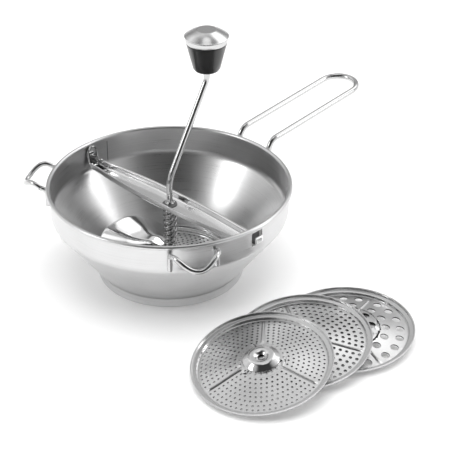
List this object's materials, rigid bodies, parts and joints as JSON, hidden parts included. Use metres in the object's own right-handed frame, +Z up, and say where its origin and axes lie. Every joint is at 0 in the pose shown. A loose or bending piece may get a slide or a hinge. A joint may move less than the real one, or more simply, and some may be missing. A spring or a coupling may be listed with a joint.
{
  "type": "rotary food mill",
  "caption": "Stainless rotary food mill: conical bowl with a long rod handle and pot hooks, lift-out cross bar, sprung hand crank with blade, and leaning spare discs",
  "frame": {"origin": "centre of the foot ring's underside, on the surface that the mill stands on", "axes": "+X towards the long handle, +Y towards the cross bar's finger tab, +Z up"},
  "size_m": [0.4118, 0.3945, 0.2436],
  "materials": {
    "bowl_steel": "brushed stainless sheet",
    "rod_chrome": "polished round rod",
    "bar_steel": "polished stainless sheet",
    "spring_steel": "bright spring wire and leaf",
    "bushing_plastic": "dark bearing plastic",
    "blade_steel": "mirror-polished sheet",
    "knob_plastic": "glossy black moulding",
    "cap_chrome": "bright plated cap and ring",
    "disc_steel": "pressed and pierced stainless sheet"
  },
  "bodies": {
    "bowl": {"bowl_shell": "bowl_steel", "foot_ring": "bowl_steel", "seat_ring": "bowl_steel", "handle_loop": "rod_chrome", "handle_saddle": "bowl_steel", "pot_hook_left": "rod_chrome", "pot_hook_right": "rod_chrome"},
    "bar": {"cross_bar": "bar_steel", "latch_rivet": "bar_steel", "shaft_bushing": "bushing_plastic", "spring_cup": "bar_steel", "coil_spring": "spring_steel"},
    "latch": {"latch_spring": "spring_steel"},
    "shaft_carrier": {"thrust_washer": "bar_steel"},
    "crank": {"shaft": "rod_chrome", "crank_arm": "rod_chrome", "knob_spindle": "rod_chrome", "retaining_ring": "rod_chrome", "blade_hub": "blade_steel", "blade": "blade_steel", "drive_pin": "bar_steel", "pivot_tip": "bar_steel", "knob_stop": "rod_chrome", "knob_washer": "bar_steel"},
    "knob": {"knob_sleeve": "bushing_plastic", "knob_body": "knob_plastic", "knob_ring": "cap_chrome", "knob_cap": "cap_chrome"},
    "bowl_disc": {"sieve_disc": "disc_steel"},
    "coarse_disc": {"spare_disc_coarse": "disc_steel"},
    "medium_disc": {"spare_disc_medium": "disc_steel"},
    "fine_disc": {"spare_disc_fine": "disc_steel"}
  },
  "joints": [
    {"name": "crossbar_tilt", "type": "hinge", "parent": "bowl", "child": "bar", "pos_m": [0, -0.1161, 0.0786], "axis": [1, 0, 0], "range_deg": [0, 22], "deforming": ["latch_spring"]},
    {"name": "latch_flex", "type": "hinge", "parent": "bar", "child": "latch", "pos_m": [0, 0.0945, 0.0735], "axis": [1, 0, 0], "range_deg": [0, 7], "stiffness_Nm_per_rad": 0.5, "deforming": ["latch_spring"]},
    {"name": "shaft_lift", "type": "slide", "parent": "bar", "child": "shaft_carrier", "axis": [0, 0, 1], "range_m": [0, 0.004], "stiffness_N_per_m": 800, "springref_m": -0.01, "deforming": ["coil_spring"]},
    {"name": "crank_spin", "type": "hinge", "parent": "shaft_carrier", "child": "crank", "pos_m": [0, 0, 0.05], "axis": [0, 0, 1], "continuous": true},
    {"name": "knob_spin", "type": "hinge", "parent": "crank", "child": "knob", "pos_m": [0.053, 0, 0.21], "axis": [0, 0, 1], "continuous": true},
    {"name": "disc_lift", "type": "slide", "parent": "bowl", "child": "bowl_disc", "axis": [0, 0, 1], "range_m": [0, 0.016]},
    {"name": "coarse_lift", "type": "slide", "parent": "bowl", "child": "coarse_disc", "axis": [0, 0, 1], "range_m": [0, 0.04]},
    {"name": "medium_lift", "type": "slide", "parent": "coarse_disc", "child": "medium_disc", "axis": [0, 0, 1], "range_m": [0, 0.04]},
    {"name": "fine_lift", "type": "slide", "parent": "medium_disc", "child": "fine_disc", "axis": [0, 0, 1], "range_m": [0, 0.04]}
  ],
  "couplings": [
    {"joint": "disc_lift", "follows": "crossbar_tilt", "m_per_rad": 0.04}
  ]
}
